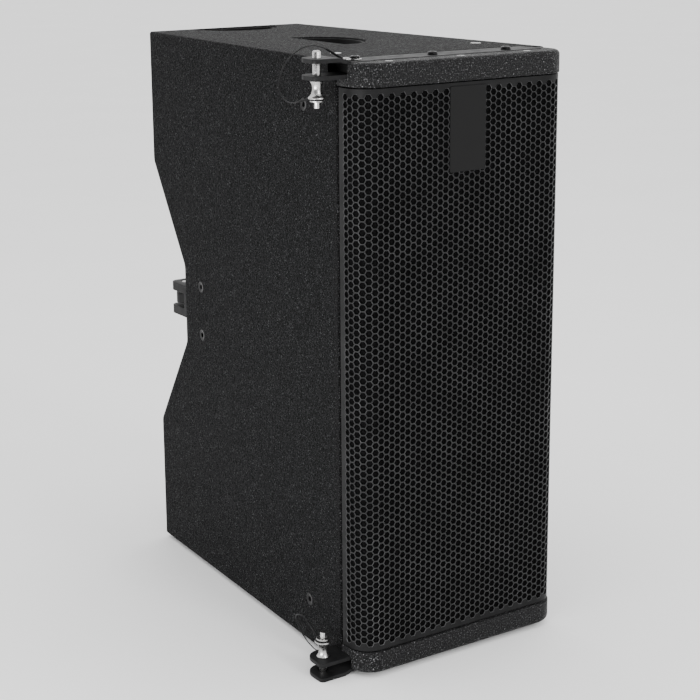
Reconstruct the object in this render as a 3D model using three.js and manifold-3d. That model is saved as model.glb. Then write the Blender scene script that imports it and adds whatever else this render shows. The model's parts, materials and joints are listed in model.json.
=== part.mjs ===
// Line array speaker: a passive two-way wedge cabinet with two 8 inch woofers, standing on its end.
// Millimetres, +Z up along the cabinet's length, +Y to the rear, front face towards -Y.
// Origin: on the bottom end face, on the centre plane, ORIGIN_DEPTH behind the front of the cabinet.
// Depths are measured from the front of the cabinet, and heights from the bottom end face.
import * as THREE from "three";
import { mergeVertices } from "three/addons/utils/BufferGeometryUtils.js";
import Module from "manifold-3d";

const wasm = await Module();
wasm.setup();

// Cabinet
const HEIGHT = 620;
const MIDDLE = HEIGHT / 2;
const DEPTH = 475;
const WAIST_DEPTH = 397; // where the rear of the hourglass is at its narrowest
const FRONT_WIDTH = 257;
const REAR_WIDTH = 203.6;
const ORIGIN_DEPTH = 120;
const SIDE_START = 39.7; // the side panels begin here, behind the wrapped grille
const CORNER_RADIUS = 26; // vertical front corners, seen from the end
const LOBE_BEND = 159.3; // from the middle of the height to where the rear lobes begin
const WAIST_BEND = 45.4; // from the middle of the height to where the waist ends
const WALL = 15;
const END_WALL = 18;
const GAP = 0.3; // between pieces that touch

// Front caps
const CAP_HEIGHT = 24.4;
const CAP_DROP = 0.7; // the cap's end lies a little below the end panel
const CAP_END = 59.7;

// Grille, foam and label
const GRILLE_SETBACK = 2.5;
const GRILLE_SIDE_SETBACK = 0.5;
const GRILLE_THICKNESS = 1.5;
const FOAM_THICKNESS = 4;
const LABEL_WIDTH = 44;
const LABEL_HEIGHT = 84;
const LABEL_TOP = 591.5;

// Drivers
const WOOFER_OFFSET = 178; // woofer centres from the middle of the height
const FLANGE_FRONT = 36;
const FLANGE_THICKNESS = 4;
const BAFFLE_FRONT = 40.3;
const WOOFER_HOLE = 93.2;
const HORN_WIDTH = 172;
const HORN_HEIGHT = 116;
const HORN_END = 112;
const THROAT = 36;

// Rigging at the front of both ends
const FORK_DEPTH = 40.5; // axis of the pins
const EAR_FRONT = 23;
const EAR_BACK = 56;
const EAR_THICKNESS = 4;
const EAR_TIP = 164; // from the centre plane
const EAR_GAP = 12;
const JOGGLE_START = 134.5; // the outer ear drops to the level of its bar from here
const JOGGLE_END = 121.5;
const PIN_X = 150.5;
const PIN_HOLE = 4.25;
const BAR_FRONT = 25.5;
const BAR_BACK = 58.5;
const BAR_THICKNESS = 4;
const BAR_END_LEFT = 108;
const BAR_END_RIGHT = 112;
const BAR_SCREW_FIRST = -109;
const BAR_SCREW_SPACING = 92;
const BAR_SCREW_DEPTH = 37.5;
const LINK_START = 28;
const LINK_END = 127.5;
const LINK_WIDTH = 27;
const LINK_THICKNESS = 6.4;
const LINK_HOLE_X = 114;
const LINK_TRAVEL = PIN_X - LINK_HOLE_X;

// Rigging at the waist
const REAR_FORK_X = 86.5;
const REAR_EAR_THICKNESS = 10;
const REAR_FORK_HEIGHT = 38;
const REAR_FORK_WIDTH = 31;
const REAR_FORK_TIP = 442.5;
const REAR_PIN_DEPTH = 429;
const REAR_ARM_LENGTH = 84;
const REAR_ARM_RADIUS = 12.5;
const REAR_ARM_THICKNESS = 12;
const REAR_ARM_HOLES = 4;
const REAR_ARM_SPACING = 17.8;

// Quick release pins, lengths from the handle's end face
const PIN_RADIUS = 4;
const TOP_PIN_LENGTH = 48.2;
const TOP_PIN_BASE = 582.6;
const BOTTOM_PIN_LENGTH = 39.6; // ends inside the lower ear, so the cabinet can stand
const BOTTOM_PIN_BASE = 584; // as if at the top end, like everything made for both ends
const REAR_PIN_LENGTH = 61;
const REAR_PIN_BASE = 271;
const BUTTON_RADIUS = 2.9;
const BUTTON_PROUD = 6.4;
const BUTTON_INSIDE = 3;

// Hand recesses: half ellipses, straight on one side
const HAND_LENGTH = 104;
const HAND_WIDTH = 48;
const HAND_DEPTH = 46;
const CUP_WALL = 2;
const MIDDLE_HAND_X = -18;
const MIDDLE_HAND_DEPTH = 241;
const REAR_HAND_X = 6;
const REAR_HAND_DEPTH = 467;

const taper = Math.atan((FRONT_WIDTH - REAR_WIDTH) / 2 / (DEPTH - SIDE_START));

// Colours
const paint = { color: 0x1b1b1c, roughness: 0.75, metalness: 0.0 };
const steelPaint = { color: 0x1d1d1e, roughness: 0.5, metalness: 0.3 };
const chrome = { color: 0xc8c8c8, roughness: 0.2, metalness: 1.0 };
const plastic = { color: 0x141414, roughness: 0.6, metalness: 0.0 };
const paper = { color: 0x242424, roughness: 0.9, metalness: 0.0 };
const foam = { color: 0x0a0a0a, roughness: 1.0, metalness: 0.0 };
const board = { color: 0x1f4d2c, roughness: 0.6, metalness: 0.0 };

const speaker = new THREE.Group();

// Half width of the cabinet outside, and between its side panels, at a depth behind the side panels' front edge.
const outsideAt = (depth) => FRONT_WIDTH / 2 - (depth - SIDE_START) * Math.tan(taper);
const insideAt = (depth) => outsideAt(depth) - WALL / Math.cos(taper) - GAP;

// A closed geometry as a manifold solid.
function solid(geometry) {
  const bare = geometry.clone();
  bare.deleteAttribute("normal");
  bare.deleteAttribute("uv");
  const merged = mergeVertices(bare, 1e-4);
  const mesh = new wasm.Mesh({
    numProp: 3,
    vertProperties: merged.attributes.position.array,
    triVerts: merged.index.array,
  });
  return new wasm.Manifold(mesh);
}

function geometryOf(body) {
  const mesh = body.getMesh();
  const geometry = new THREE.BufferGeometry();
  geometry.setAttribute("position", new THREE.BufferAttribute(mesh.vertProperties, 3));
  geometry.setIndex(new THREE.BufferAttribute(mesh.triVerts, 1));
  const flat = geometry.toNonIndexed();
  flat.computeVertexNormals();
  return flat;
}

function add(name, body, finish) {
  const geometry = body.isBufferGeometry ? body : geometryOf(body);
  const mesh = new THREE.Mesh(geometry, new THREE.MeshStandardMaterial(finish));
  mesh.name = name;
  speaker.add(mesh);
}

// Turns a solid made for the top end into its copy at the bottom end.
const toBottom = (body) => body.mirror([0, 0, 1]).translate([0, 0, HEIGHT]);
const toRight = (body) => body.mirror([1, 0, 0]);

function addBothEnds(name, body, finish) {
  add(name + "_top", body, finish);
  add(name + "_bottom", toBottom(body), finish);
}

function box(x0, x1, depth0, depth1, z0, z1) {
  const geometry = new THREE.BoxGeometry(x1 - x0, depth1 - depth0, z1 - z0);
  geometry.translate((x0 + x1) / 2, (depth0 + depth1) / 2 - ORIGIN_DEPTH, (z0 + z1) / 2);
  return solid(geometry);
}

// A plan outline, in x and depth, raised between two heights.
function raise(shape, z0, z1, curveSegments = 8) {
  const geometry = new THREE.ExtrudeGeometry(shape, {
    depth: z1 - z0,
    bevelEnabled: false,
    curveSegments,
  });
  geometry.translate(0, -ORIGIN_DEPTH, z0);
  return solid(geometry);
}

function planOutline(points) {
  return new THREE.Shape(points.map(([x, depth]) => new THREE.Vector2(x, depth)));
}

// A side outline, in depth and height, drawn out from x0 to x1.
function drawAcross(points, x0, x1) {
  const shape = new THREE.Shape(points.map(([depth, z]) => new THREE.Vector2(depth - ORIGIN_DEPTH, z)));
  const geometry = new THREE.ExtrudeGeometry(shape, { depth: x1 - x0, bevelEnabled: false });
  const across = new THREE.Matrix4().makeBasis(
    new THREE.Vector3(0, 1, 0),
    new THREE.Vector3(0, 0, 1),
    new THREE.Vector3(1, 0, 0),
  );
  geometry.applyMatrix4(across);
  geometry.translate(x0, 0, 0);
  return solid(geometry);
}

// A profile of [radius, height] pairs turned about the Y axis: up the outside, down the inside.
function turn(profile, segments = 24) {
  return new THREE.LatheGeometry(
    profile.map(([r, y]) => new THREE.Vector2(r, y)),
    segments,
  );
}

// A turned piece that stands along Z at x and depth, with its profile's zero at height z.
function turnUp(profile, x, depth, z, segments) {
  const geometry = turn(profile, segments);
  geometry.rotateX(Math.PI / 2);
  geometry.translate(x, depth - ORIGIN_DEPTH, z);
  return solid(geometry);
}

// A turned piece whose axis runs to the rear at height z, its profile given in depths.
function turnBack(profile, x, z, segments) {
  const geometry = turn(profile, segments);
  geometry.translate(x, -ORIGIN_DEPTH, z);
  return solid(geometry);
}

const rod = (radius, length) => [[0, 0], [radius, 0], [radius, length], [0, length]];

// ---------------------------------------------------------------- cabinet panels

// Countersunk side screws: depth and height of each head on the left side face.
const SIDE_SCREW_HEAD = 6;
const SIDE_SCREW_RADIUS = 3;
const SIDE_SCREW_LENGTH = 22;
const FRONT_SCREW_DEPTH = 107;
const FRONT_SCREW_INSET = 48;
const REAR_SCREW_DEPTH = 354.6;
const REAR_SCREW_OFFSET = 28.3;
const sideScrews = {
  front_top: [FRONT_SCREW_DEPTH, HEIGHT - FRONT_SCREW_INSET],
  front_bottom: [FRONT_SCREW_DEPTH, FRONT_SCREW_INSET],
  rear_top: [REAR_SCREW_DEPTH, MIDDLE + REAR_SCREW_OFFSET],
  rear_bottom: [REAR_SCREW_DEPTH, MIDDLE - REAR_SCREW_OFFSET],
};

// A screw let into the left side: its profile runs inwards from the side face. grow widens it for its hole.
function sideScrew([depth, z], grow) {
  const socket = 2.4;
  const coneEnd = 3.2;
  const head = [
    [SIDE_SCREW_HEAD + grow, 0.2 - grow],
    [SIDE_SCREW_RADIUS + grow, coneEnd],
    [SIDE_SCREW_RADIUS + grow, SIDE_SCREW_LENGTH + grow],
    [0, SIDE_SCREW_LENGTH + grow],
  ];
  const recess = [[0, 2.4], [socket, 2.4], [socket, 0.2]];
  const mouth = [[0, 0.2 - grow]];
  const geometry = turn([...(grow ? mouth : recess), ...head], 16);
  geometry.rotateZ(-Math.PI / 2);
  geometry.rotateZ(-taper);
  geometry.translate(-outsideAt(depth), depth - ORIGIN_DEPTH, z);
  return solid(geometry);
}

function sideOutline() {
  const along = (depth) => (depth - SIDE_START) / Math.cos(taper);
  const rear = along(DEPTH);
  const waist = along(WAIST_DEPTH);
  return new THREE.Shape([
    new THREE.Vector2(0, 0),
    new THREE.Vector2(rear, 0),
    new THREE.Vector2(rear, MIDDLE - LOBE_BEND),
    new THREE.Vector2(waist, MIDDLE - WAIST_BEND),
    new THREE.Vector2(waist, MIDDLE + WAIST_BEND),
    new THREE.Vector2(rear, MIDDLE + LOBE_BEND),
    new THREE.Vector2(rear, HEIGHT),
    new THREE.Vector2(0, HEIGHT),
  ]);
}

function sidePanel() {
  const geometry = new THREE.ExtrudeGeometry(sideOutline(), { depth: WALL, bevelEnabled: false });
  const place = new THREE.Matrix4().makeBasis(
    new THREE.Vector3(Math.sin(taper), Math.cos(taper), 0),
    new THREE.Vector3(0, 0, 1),
    new THREE.Vector3(Math.cos(taper), -Math.sin(taper), 0),
  );
  place.setPosition(-FRONT_WIDTH / 2, SIDE_START - ORIGIN_DEPTH, 0);
  geometry.applyMatrix4(place);
  return solid(geometry).subtract(box(-150, 150, 0, SIDE_START, -1, HEIGHT + 1));
}

const innerEar = HEIGHT - EAR_GAP - EAR_THICKNESS; // underside of the top fork's inner ear

const NOTCH_END = -96; // the top fork's foot is let into the cap up to here
const forkNotch = box(-150, NOTCH_END, EAR_FRONT - GAP, EAR_BACK + GAP, innerEar - GAP, HEIGHT + 10);
const linkHeight = innerEar + EAR_THICKNESS + (EAR_GAP - LINK_THICKNESS) / 2 - 2;
const linkFront = FORK_DEPTH - LINK_WIDTH / 2;
const linkBack = FORK_DEPTH + LINK_WIDTH / 2;
const linkPocket = box(
  LINK_START - 1, 150, linkFront - GAP, linkBack + GAP, linkHeight - GAP, linkHeight + LINK_THICKNESS + GAP,
);

function leftSide() {
  let panel = sidePanel().subtract(forkNotch).subtract(toBottom(forkNotch));
  for (const place of Object.values(sideScrews)) {
    panel = panel.subtract(sideScrew(place, GAP));
  }
  return panel;
}

function rightSide() {
  return toRight(sidePanel()).subtract(linkPocket).subtract(toBottom(linkPocket));
}

add("side_panel_left", leftSide(), paint);
add("side_panel_right", rightSide(), paint);

// The space between the side panels, as seen from the end.
const between = raise(
  planOutline([
    [-insideAt(SIDE_START), SIDE_START],
    [insideAt(SIDE_START), SIDE_START],
    [insideAt(DEPTH), DEPTH],
    [-insideAt(DEPTH), DEPTH],
  ]),
  0,
  HEIGHT,
);

// A hand recess's outline with its straight side on the local X axis, drawn in by inset.
function handOutline(inset) {
  const a = HAND_LENGTH / 2 - inset;
  const b = HAND_WIDTH - inset;
  const start = Math.asin(inset / b);
  const shape = new THREE.Shape();
  shape.absellipse(0, 0, a, b, start, Math.PI - start, false);
  return shape;
}

function handSolid(inset, z0, z1, turned, x, depth) {
  const geometry = new THREE.ExtrudeGeometry(handOutline(inset), {
    depth: z1 - z0,
    bevelEnabled: false,
    curveSegments: 10,
  });
  geometry.rotateZ(turned);
  geometry.translate(x, depth - ORIGIN_DEPTH, z0);
  return solid(geometry);
}

const handPlaces = {
  middle: [-Math.PI / 2, MIDDLE_HAND_X, MIDDLE_HAND_DEPTH],
  rear: [Math.PI, REAR_HAND_X, REAR_HAND_DEPTH],
};

function endPanel() {
  let panel = between.intersect(box(-150, 150, CAP_END + GAP, DEPTH, HEIGHT - END_WALL, HEIGHT));
  for (const place of Object.values(handPlaces)) {
    panel = panel.subtract(handSolid(0, HEIGHT - END_WALL - 1, HEIGHT + 1, ...place));
  }
  return panel;
}

addBothEnds("end_panel", endPanel(), paint);

for (const [name, place] of Object.entries(handPlaces)) {
  const outer = handSolid(GAP, HEIGHT - HAND_DEPTH, HEIGHT - 1.5, ...place);
  const inner = handSolid(GAP + CUP_WALL, HEIGHT - HAND_DEPTH + CUP_WALL, HEIGHT, ...place);
  const cup = outer.subtract(inner);
  add("hand_cup_top_" + name, cup, plastic);
  add("hand_cup_bottom_" + name, toBottom(cup), plastic);
}

// The rear wall follows the hourglass. Points run down the outside, and inside is WALL further in.
const rearOutside = [
  [DEPTH, HEIGHT - END_WALL - GAP],
  [DEPTH, MIDDLE + LOBE_BEND],
  [WAIST_DEPTH, MIDDLE + WAIST_BEND],
  [WAIST_DEPTH, MIDDLE - WAIST_BEND],
  [DEPTH, MIDDLE - LOBE_BEND],
  [DEPTH, END_WALL + GAP],
];
const slope = Math.atan2(LOBE_BEND - WAIST_BEND, DEPTH - WAIST_DEPTH);
const mitre = WALL * Math.tan((Math.PI / 2 - slope) / 2);
const rearInside = rearOutside.map(([depth, z], i) => {
  const atEnd = i === 0 || i === rearOutside.length - 1;
  return [depth - WALL, atEnd ? z : z + Math.sign(z - MIDDLE) * mitre];
});

function rearWall(i) {
  const corners = [rearOutside[i], rearOutside[i + 1], rearInside[i + 1], rearInside[i]];
  const [from, to] = [rearOutside[i], rearOutside[i + 1]];
  const length = Math.hypot(to[0] - from[0], to[1] - from[1]);
  const step = [((to[0] - from[0]) / length) * (GAP / 2), ((to[1] - from[1]) / length) * (GAP / 2)];
  const trimmed = corners.map(([depth, z], k) => {
    const inwards = k === 0 || k === 3 ? 1 : -1;
    return [depth + inwards * step[0], z + inwards * step[1]];
  });
  return drawAcross(trimmed, -130, 130).intersect(between);
}

// Connector plate, let into a rebate low in the rear wall.
const PLATE_HEIGHT = 84;
const PLATE_WIDTH = 100;
const PLATE_MIDDLE = 88;
const PLATE_SETBACK = 3.2;
const PLATE_THICKNESS = 2.5;
const SOCKET_SPACING = 44;
const SOCKET_RADIUS = 12;
const SOCKET_BORE = 8.5;
const SOCKET_DEPTH = 12;
const plateBack = DEPTH - PLATE_SETBACK;

function plateBox(grow, depth0, depth1) {
  const w = PLATE_WIDTH / 2 + grow;
  const h = PLATE_HEIGHT / 2 + grow;
  return box(-w, w, depth0, depth1, PLATE_MIDDLE - h, PLATE_MIDDLE + h);
}

const plateRebate = plateBox(GAP, plateBack - PLATE_THICKNESS - GAP, DEPTH + 1);
const plateOpening = plateBox(-8, DEPTH - WALL - 1, DEPTH + 1);

// The rear cups stand partly in the thickness of the rear wall.
const cupRebate = box(
  REAR_HAND_X - HAND_LENGTH / 2 - GAP, REAR_HAND_X + HAND_LENGTH / 2 + GAP,
  REAR_HAND_DEPTH - HAND_WIDTH, REAR_HAND_DEPTH + GAP,
  HEIGHT - HAND_DEPTH - GAP, HEIGHT,
);

add("rear_panel_top", rearWall(0).subtract(cupRebate), paint);
add("diagonal_panel_top", rearWall(1), paint);
add("waist_panel", rearWall(2), paint);
add("diagonal_panel_bottom", rearWall(3), paint);
const rearPanelBottom = rearWall(4).subtract(toBottom(cupRebate));
add("rear_panel_bottom", rearPanelBottom.subtract(plateRebate).subtract(plateOpening), paint);

function socket(x) {
  const front = plateBack + GAP + 2;
  const body = turnBack(
    [
      [0, front - SOCKET_DEPTH - 8],
      [SOCKET_RADIUS, front - SOCKET_DEPTH - 8],
      [SOCKET_RADIUS, front],
      [SOCKET_BORE, front],
      [SOCKET_BORE, front - SOCKET_DEPTH],
      [0, front - SOCKET_DEPTH],
    ],
    x,
    PLATE_MIDDLE,
    20,
  );
  const flange = box(x - 15.5, x + 15.5, plateBack + GAP, front, PLATE_MIDDLE - 15.5, PLATE_MIDDLE + 15.5);
  const bore = turnBack(
    [[0, front - SOCKET_DEPTH], [SOCKET_BORE, front - SOCKET_DEPTH], [SOCKET_BORE, front + 1], [0, front + 1]],
    x,
    PLATE_MIDDLE,
    20,
  );
  return body.add(flange).subtract(bore);
}

let plate = plateBox(0, plateBack - PLATE_THICKNESS, plateBack);
for (const side of [-1, 1]) {
  const x = (side * SOCKET_SPACING) / 2;
  const hole = turnBack([[0, 440], [12.6, 440], [12.6, DEPTH], [0, DEPTH]], x, PLATE_MIDDLE, 20);
  plate = plate.subtract(hole);
  add(side < 0 ? "speaker_socket_left" : "speaker_socket_right", socket(x), plastic);
}
add("connector_plate", plate, steelPaint);

// ---------------------------------------------------------------- front

// Outline of the rounded front, set back from the front and in from the sides, up to depth end.
function frontOutline(front, sideIn, end) {
  const half = FRONT_WIDTH / 2 - sideIn;
  const radius = CORNER_RADIUS - front;
  const path = new THREE.Shape();
  path.moveTo(-half, end);
  path.lineTo(-half, front + radius);
  path.absarc(-half + radius, front + radius, radius, Math.PI, 1.5 * Math.PI, false);
  path.lineTo(half - radius, front);
  path.absarc(half - radius, front + radius, radius, 1.5 * Math.PI, 2 * Math.PI, false);
  path.lineTo(half, end);
  return path;
}

const BAR_TOP = HEIGHT - 0.2;
const barPocket = box(
  -150, BAR_END_RIGHT + GAP, BAR_FRONT - GAP, BAR_BACK + GAP, BAR_TOP - BAR_THICKNESS - GAP, HEIGHT + 5,
);

function barScrewShank(x, radius) {
  return turnUp(rod(radius, 40), x, BAR_SCREW_DEPTH, HEIGHT - 20, 12);
}
const barScrewXs = [0, 1, 2].map((i) => BAR_SCREW_FIRST + i * BAR_SCREW_SPACING);
const lastScrewX = barScrewXs[2];

function frontCap() {
  const bottom = HEIGHT - CAP_HEIGHT;
  const top = HEIGHT - CAP_DROP;
  const half = insideAt(CAP_END);
  let cap = raise(frontOutline(0, 0, SIDE_START - GAP), bottom, top);
  cap = cap.add(box(-half, half, SIDE_START - 5, CAP_END, bottom, top));
  cap = cap.subtract(barPocket).subtract(forkNotch).subtract(linkPocket);
  for (const x of barScrewXs) {
    cap = cap.subtract(barScrewShank(x, 3.3));
  }
  return cap;
}

addBothEnds("front_cap", frontCap(), paint);

// A sheet of the given thickness wrapped round the front, and setIn behind the face of the grille.
function wrap(setIn, thickness, end, margin) {
  const front = GRILLE_SETBACK + setIn;
  const sideIn = GRILLE_SIDE_SETBACK + setIn;
  const outer = raise(frontOutline(front, sideIn, end), margin, HEIGHT - margin);
  const inner = frontOutline(front + thickness, sideIn + thickness, end + 1);
  return outer.subtract(raise(inner, margin - 1, HEIGHT - margin + 1));
}

const grilleMargin = CAP_HEIGHT + 0.6;
add("grille", wrap(0, GRILLE_THICKNESS, SIDE_START - GAP, grilleMargin), steelPaint);
add("grille_foam", wrap(GRILLE_THICKNESS + GAP, FOAM_THICKNESS, SIDE_START - 1, grilleMargin + 1), foam);
const labelBack = GRILLE_SETBACK - GAP;
add(
  "label_plate",
  box(-LABEL_WIDTH / 2, LABEL_WIDTH / 2, labelBack - 0.8, labelBack, LABEL_TOP - LABEL_HEIGHT, LABEL_TOP),
  steelPaint,
);

// ---------------------------------------------------------------- drivers and crossover

function baffle() {
  const half = insideAt(BAFFLE_FRONT + WALL);
  let plank = box(-half, half, BAFFLE_FRONT, BAFFLE_FRONT + WALL, CAP_HEIGHT + GAP, HEIGHT - CAP_HEIGHT - GAP);
  for (const side of [-1, 1]) {
    const hole = turnBack(
      [[0, 30], [WOOFER_HOLE, 30], [WOOFER_HOLE, 70], [0, 70]],
      0,
      MIDDLE + side * WOOFER_OFFSET,
      32,
    );
    plank = plank.subtract(hole);
  }
  const w = HORN_WIDTH / 2 + 5.5;
  const h = HORN_HEIGHT / 2 + 5.5;
  return plank.subtract(box(-w, w, 30, 70, MIDDLE - h, MIDDLE + h));
}

add("front_baffle", baffle(), paint);

const flangeBack = FLANGE_FRONT + FLANGE_THICKNESS;
const wooferFrame = turnBack(
  [
    [0, 96], [36, 96], [88, 46], [90.2, FLANGE_FRONT], [104, FLANGE_FRONT], [104, flangeBack],
    [92.4, flangeBack], [50, 90], [62, 90], [62, 118], [0, 118],
  ],
  0,
  MIDDLE + WOOFER_OFFSET,
  32,
);
const wooferSurround = turnBack(
  [
    [78.3, 40], [80, 38], [83.5, 36.8], [87, 38], [88.6, 40],
    [88.6, 41], [86.6, 40], [83.5, 38.2], [80.6, 40], [78.3, 41], [78.3, 40],
  ],
  0,
  MIDDLE + WOOFER_OFFSET,
  32,
);
const wooferCone = turnBack(
  [
    [0, 55], [14, 57.5], [24, 63], [78, 40], [78, 41.8], [25, 66], [19, 68], [19, 82], [17.5, 82],
    [17.5, 67], [0, 60],
  ],
  0,
  MIDDLE + WOOFER_OFFSET,
  32,
);
addBothEnds("woofer_frame", wooferFrame, steelPaint);
addBothEnds("woofer_surround", wooferSurround, foam);
addBothEnds("woofer_cone", wooferCone, paper);

// A solid with four flat sides between two upright rectangles at two depths.
function taperedBlock(halfX0, halfZ0, depth0, halfX1, halfZ1, depth1) {
  const geometry = new THREE.BoxGeometry(2, 2, 2);
  const at = geometry.attributes.position;
  for (let i = 0; i < at.count; i += 1) {
    const far = at.getY(i) > 0;
    const x = at.getX(i) * (far ? halfX1 : halfX0);
    const z = at.getZ(i) * (far ? halfZ1 : halfZ0);
    at.setXYZ(i, x, (far ? depth1 : depth0) - ORIGIN_DEPTH, MIDDLE + z);
  }
  return solid(geometry);
}

const hornShell = taperedBlock(
  HORN_WIDTH / 2 + 4, HORN_HEIGHT / 2 + 4, flangeBack - 1, THROAT / 2 + 5, THROAT / 2 + 5, HORN_END,
);
const hornMouth = taperedBlock(
  HORN_WIDTH / 2, HORN_HEIGHT / 2, FLANGE_FRONT - 1, THROAT / 2, THROAT / 2, HORN_END + 1,
);
const hornFlange = box(-98, 98, FLANGE_FRONT, flangeBack, MIDDLE - 70, MIDDLE + 70);
add("waveguide", hornFlange.add(hornShell).subtract(hornMouth), plastic);
add(
  "compression_driver",
  turnBack(
    [
      [0, HORN_END + 0.4], [30, HORN_END + 0.4], [30, HORN_END + 6], [50, HORN_END + 6],
      [50, HORN_END + 52], [0, HORN_END + 52],
    ],
    0,
    MIDDLE,
    24,
  ),
  steelPaint,
);

// Crossover: a circuit board with coils and capacitors, on pillars inside the top of the rear wall.
function crossoverBoard() {
  const wall = DEPTH - WALL - GAP;
  const face = wall - 12;
  const low = 480;
  const high = 566;
  let circuit = box(-70, 70, face - 2, face, low, high);
  for (const x of [-62, 62]) {
    for (const z of [low + 8, high - 8]) {
      circuit = circuit.add(box(x - 4, x + 4, face - 1, wall, z - 4, z + 4));
    }
  }
  for (const [x, z, radius, tall] of [[-40, 523, 22, 24], [4, 506, 16, 20], [4, 543, 14, 18]]) {
    const from = face - tall;
    circuit = circuit.add(turnBack([[0, from], [radius, from], [radius, face - 1], [0, face - 1]], x, z, 20));
  }
  for (const z of [500, 524, 548]) {
    circuit = circuit.add(box(28, 54, face - 20, face - 1, z - 9, z + 9));
  }
  return circuit;
}

add("crossover_board", crossoverBoard(), board);

// ---------------------------------------------------------------- front rigging

// A fork's ear, from its rounded tip to x.
function ear(x, z0, z1) {
  const frontRadius = 5;
  const backRadius = 15;
  const path = new THREE.Shape();
  path.moveTo(x, EAR_FRONT);
  path.lineTo(x, EAR_BACK);
  path.lineTo(-EAR_TIP + backRadius, EAR_BACK);
  path.absarc(-EAR_TIP + backRadius, EAR_BACK - backRadius, backRadius, Math.PI / 2, Math.PI, false);
  path.absarc(-EAR_TIP + frontRadius, EAR_FRONT + frontRadius, frontRadius, Math.PI, 1.5 * Math.PI, false);
  return raise(path, z0, z1, 5);
}

// The cranked part of the outer ear, from the level of its tip down to the level of the bar.
function joggle() {
  const low = BAR_TOP - EAR_THICKNESS;
  const side = new THREE.Shape([
    new THREE.Vector2(-JOGGLE_START - 0.1, HEIGHT),
    new THREE.Vector2(-JOGGLE_START, HEIGHT),
    new THREE.Vector2(-JOGGLE_END - 1, low),
    new THREE.Vector2(-106, low),
    new THREE.Vector2(-106, BAR_TOP),
    new THREE.Vector2(-JOGGLE_END, BAR_TOP),
    new THREE.Vector2(-JOGGLE_START, HEIGHT + EAR_THICKNESS),
    new THREE.Vector2(-JOGGLE_START - 0.1, HEIGHT + EAR_THICKNESS),
  ]);
  const geometry = new THREE.ExtrudeGeometry(side, { depth: EAR_BACK - EAR_FRONT, bevelEnabled: false });
  geometry.rotateX(Math.PI / 2);
  geometry.translate(0, EAR_BACK - ORIGIN_DEPTH, 0);
  return solid(geometry);
}

function frontFork() {
  const inner = ear(-106, innerEar, innerEar + EAR_THICKNESS);
  const outer = ear(-JOGGLE_START, HEIGHT, HEIGHT + EAR_THICKNESS).add(joggle());
  const web = box(-118, -106, EAR_FRONT, EAR_BACK, innerEar, BAR_TOP);
  const foot = box(-107, NOTCH_END - GAP, EAR_FRONT, EAR_BACK, innerEar, BAR_TOP);
  let fork = inner.add(outer).add(web).add(foot);
  fork = fork.add(box(-BAR_END_LEFT, BAR_END_RIGHT, BAR_FRONT, BAR_BACK, BAR_TOP - BAR_THICKNESS, BAR_TOP));
  fork = fork.subtract(turnUp(rod(PIN_HOLE, 60), -PIN_X, FORK_DEPTH, HEIGHT - 40, 24));
  for (const x of barScrewXs) {
    fork = fork.subtract(barScrewShank(x, 3.3));
  }
  return fork;
}

addBothEnds("front_fork", frontFork(), steelPaint);

// Tongue that slides out of the right side to meet the next cabinet's fork, guided by the last bar screw.
function frontLink() {
  const radius = 8;
  const path = new THREE.Shape();
  path.moveTo(LINK_START, linkFront);
  path.lineTo(LINK_END - radius, linkFront);
  path.absarc(LINK_END - radius, linkFront + radius, radius, 1.5 * Math.PI, 2 * Math.PI, false);
  path.absarc(LINK_END - radius, linkBack - radius, radius, 0, 0.5 * Math.PI, false);
  path.lineTo(LINK_START, linkBack);
  const tongue = raise(path, linkHeight, linkHeight + LINK_THICKNESS, 4);
  const slotHalf = 3.4;
  const slot = box(
    lastScrewX - LINK_TRAVEL - slotHalf, lastScrewX + slotHalf,
    BAR_SCREW_DEPTH - slotHalf, BAR_SCREW_DEPTH + slotHalf, HEIGHT - 40, HEIGHT,
  );
  return tongue.subtract(slot).subtract(turnUp(rod(PIN_HOLE, 60), LINK_HOLE_X, FORK_DEPTH, HEIGHT - 40, 24));
}

addBothEnds("front_link", frontLink(), steelPaint);

// Pan head screws that hold each rigging bar down on its cap.
const PAN_HEAD = [[5, 0], [5, 1.3], [3.8, 2.4], [1.9, 2.4], [1.9, 1], [0, 1]];

function barScrew(x, seat) {
  const shank = 16;
  return turnUp([[0, -shank], [2.95, -shank], [2.95, 0], ...PAN_HEAD], x, BAR_SCREW_DEPTH, seat, 16);
}

const EYELET_THICKNESS = 1;
const eyeletSeat = BAR_TOP + GAP;
barScrewXs.forEach((x, i) => {
  const seat = i === 0 ? eyeletSeat + EYELET_THICKNESS + GAP : BAR_TOP + GAP;
  const screw = barScrew(x, seat);
  add("bar_screw_top_" + (i + 1), screw, steelPaint);
  add("bar_screw_bottom_" + (i + 1), toBottom(screw), steelPaint);
});

for (const [name, place] of Object.entries(sideScrews)) {
  add("side_screw_" + name, sideScrew(place, 0), chrome);
}

// ---------------------------------------------------------------- quick release pins

// Button bore, end flange, lanyard groove, flange, waisted grip, then the shaft up to its chamfered tip.
function pinProfile(length) {
  return [
    [0, 7], [3.2, 7], [3.2, 0], [6.9, 0], [6.9, 1.4], [5, 1.4], [5, 2.8], [8.5, 2.8], [8.5, 4.4],
    [7, 5.2], [5.2, 8.5], [4.5, 12], [4.9, 16], [6.8, 19.7], [PIN_RADIUS, 19.7], [PIN_RADIUS, length - 1.4],
    [PIN_RADIUS - 1.4, length], [0, length],
  ];
}

function lockingPin(length, x, depth, z) {
  return turnUp(pinProfile(length), x, depth, z, 24);
}

function pinButton(x, depth, z) {
  return turnUp(rod(BUTTON_RADIUS, BUTTON_PROUD + BUTTON_INSIDE), x, depth, z - BUTTON_PROUD, 20);
}

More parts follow.
